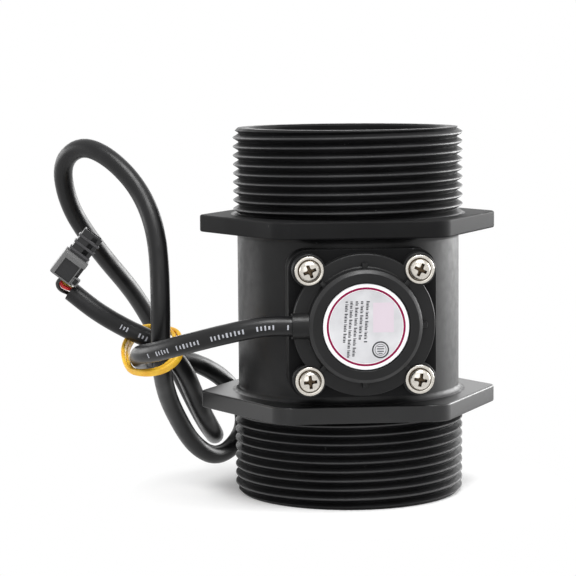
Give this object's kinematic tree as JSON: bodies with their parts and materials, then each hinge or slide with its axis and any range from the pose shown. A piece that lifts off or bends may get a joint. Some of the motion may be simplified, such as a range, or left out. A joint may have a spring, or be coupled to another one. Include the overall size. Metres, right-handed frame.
{
  "type": "water flow sensor",
  "caption": "In-line water flow sensor: threaded plastic pipe piece with wrench flanges, a magnet turbine inside, a round sensor cap on screws and a coiled signal cable.",
  "frame": {"origin": "middle of the footprint of the pipe, cap and flanges, at the lower rim", "axes": "+Z along the pipe's axis and up, -Y out of the sensor cap, -X the way the cable leaves the cap"},
  "size_m": [0.1156, 0.0935, 0.095],
  "materials": {
    "black_nylon": "moulded black nylon, faint sheen",
    "white_label": "printed plastic film",
    "stainless_steel": "bright stainless steel",
    "seal_rubber": "black rubber",
    "green_board": "green solder mask",
    "chip_ceramic": "ceramic chip part",
    "chip_epoxy": "black moulded epoxy",
    "natural_acetal": "natural white acetal",
    "nickel_magnet": "nickel-plated magnet",
    "bush_bronze": "plain bronze",
    "black_jacket": "black cable jacket, slight sheen",
    "yellow_band": "orange-yellow elastic band",
    "connector_nylon": "moulded black nylon",
    "tinned_brass": "tin-plated contact",
    "red_insulation": "red wire insulation",
    "black_insulation": "black wire insulation",
    "yellow_insulation": "yellow wire insulation"
  },
  "bodies": {
    "housing": {"housing": "black_nylon", "sensor_cap": "black_nylon", "label": "white_label", "cap_screw_1": "stainless_steel", "cap_screw_2": "stainless_steel", "cap_screw_3": "stainless_steel", "cap_screw_4": "stainless_steel", "cap_seal": "seal_rubber", "circuit_board": "green_board", "board_capacitor": "chip_ceramic", "board_resistor": "chip_ceramic", "hall_sensor": "chip_epoxy", "lower_support": "black_nylon", "upper_support": "black_nylon", "lower_bush": "bush_bronze", "upper_bush": "bush_bronze", "lower_retaining_ring": "stainless_steel", "upper_retaining_ring": "stainless_steel", "cable": "black_jacket", "cable_band": "yellow_band", "connector_housing": "connector_nylon", "contact_1": "tinned_brass", "contact_2": "tinned_brass", "contact_3": "tinned_brass", "wire_red": "red_insulation", "wire_black": "black_insulation", "wire_yellow": "yellow_insulation"},
    "rotor": {"rotor": "natural_acetal", "rotor_shaft": "stainless_steel", "rotor_magnet_1": "nickel_magnet", "rotor_magnet_2": "nickel_magnet"}
  },
  "joints": [
    {"name": "rotor_spin", "type": "hinge", "parent": "housing", "child": "rotor", "pos_m": [0, 0.00365, 0.0475], "axis": [0, 0, 1], "continuous": true}
  ]
}
